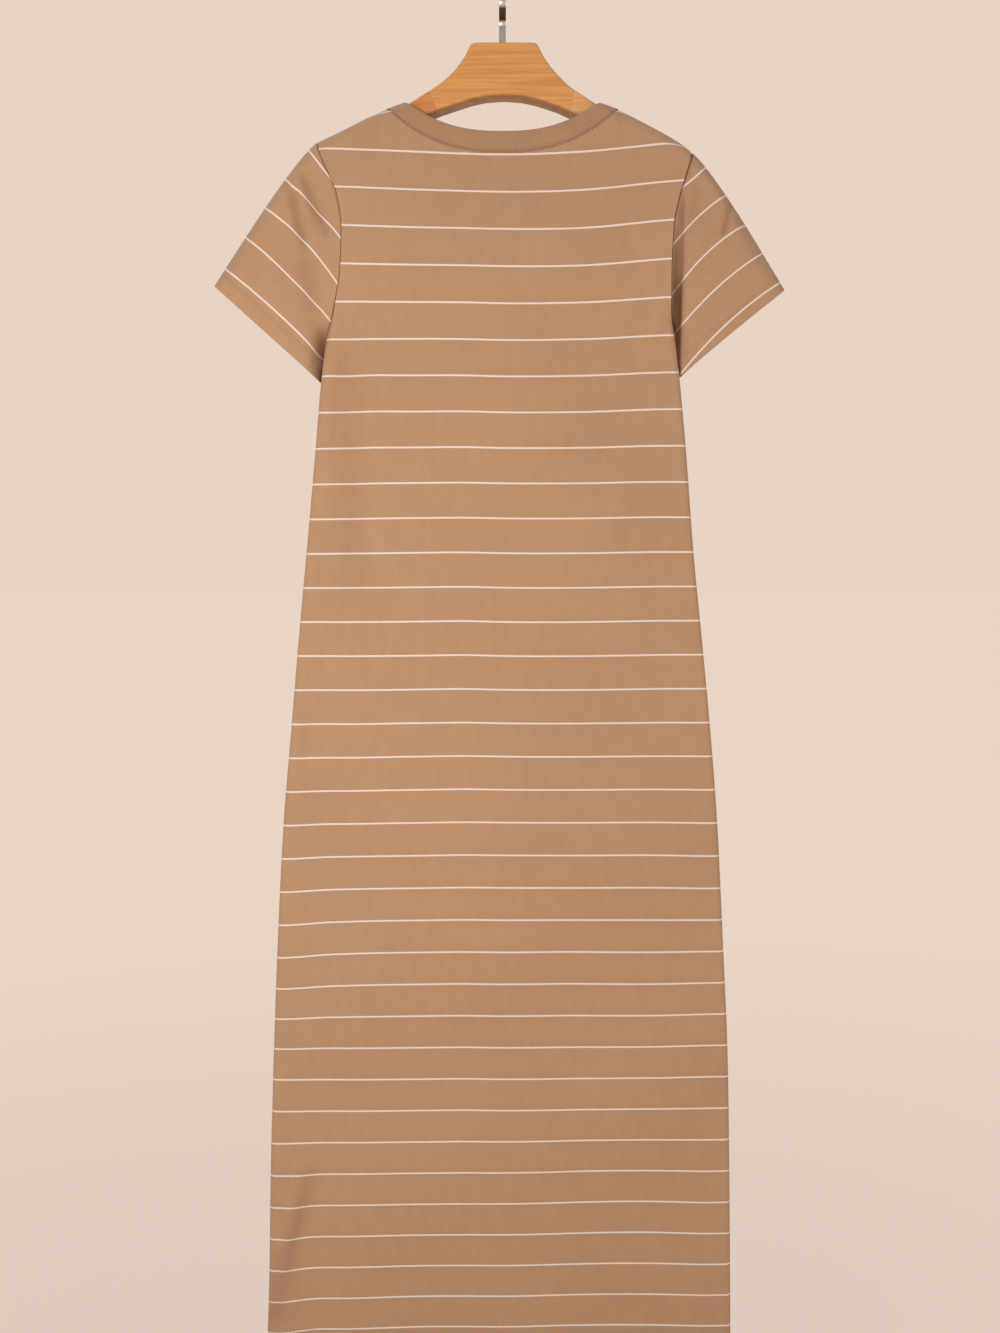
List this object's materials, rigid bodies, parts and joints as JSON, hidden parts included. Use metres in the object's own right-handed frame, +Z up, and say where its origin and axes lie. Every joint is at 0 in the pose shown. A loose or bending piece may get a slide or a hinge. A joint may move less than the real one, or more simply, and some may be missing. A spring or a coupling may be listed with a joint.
{
  "type": "t-shirt dress on a wooden hanger",
  "caption": "Long short-sleeved T-shirt dress in fine-striped jersey, hanging on a contoured wooden hanger with a flat steel hook.",
  "frame": {"origin": "inside top of the hook's bend, where a rail or peg carries the hanger", "axes": "+Z up, -Y out of the back of the dress, +Y out of its front, +X to the right of someone who looks at the back"},
  "size_m": [0.571, 0.0472, 1.4142],
  "materials": {
    "jersey": "light brown cotton jersey with fine off-white stripes, matt",
    "neckband_jersey": "plain light brown jersey folded double, matt",
    "beech": "pale beech under clear satin varnish",
    "plated_steel": "bright plated flat steel strip"
  },
  "bodies": {
    "root": {"back_panel": "jersey", "front_panel": "jersey", "sleeve_left": "jersey", "sleeve_right": "jersey", "neckband": "neckband_jersey", "hanger_block": "beech", "hanger_arm_left": "beech", "hanger_arm_right": "beech", "hook": "plated_steel"}
  },
  "joints": []
}
